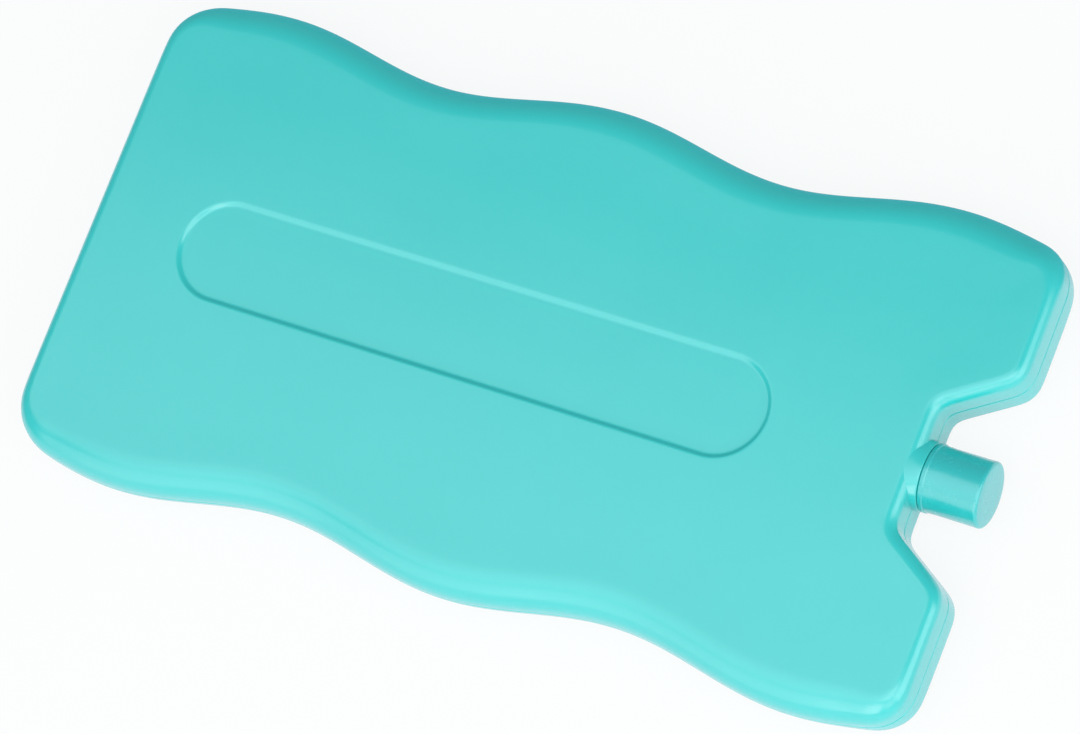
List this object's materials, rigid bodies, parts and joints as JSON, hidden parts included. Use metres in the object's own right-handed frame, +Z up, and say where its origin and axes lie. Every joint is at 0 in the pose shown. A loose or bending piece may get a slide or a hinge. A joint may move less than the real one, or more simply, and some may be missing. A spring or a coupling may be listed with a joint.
{
  "type": "reusable ice pack",
  "caption": "Flat sealed ice pack with waved long sides, a sunk panel with round ends on each face, and a notched end that guards a round filler plug.",
  "frame": {"origin": "under the middle of the pack, on the plane that it lies on", "axes": "+X along the length towards the notched end with the filler plug, +Y across the width, +Z up through the thickness"},
  "size_m": [0.198, 0.1028, 0.014],
  "materials": {
    "pack_plastic": "semi-gloss turquoise polyethylene, as blown",
    "plug_plastic": "semi-gloss turquoise polyethylene, as moulded"
  },
  "bodies": {
    "root": {"pack_body": "pack_plastic", "filler_plug": "plug_plastic"}
  },
  "joints": []
}
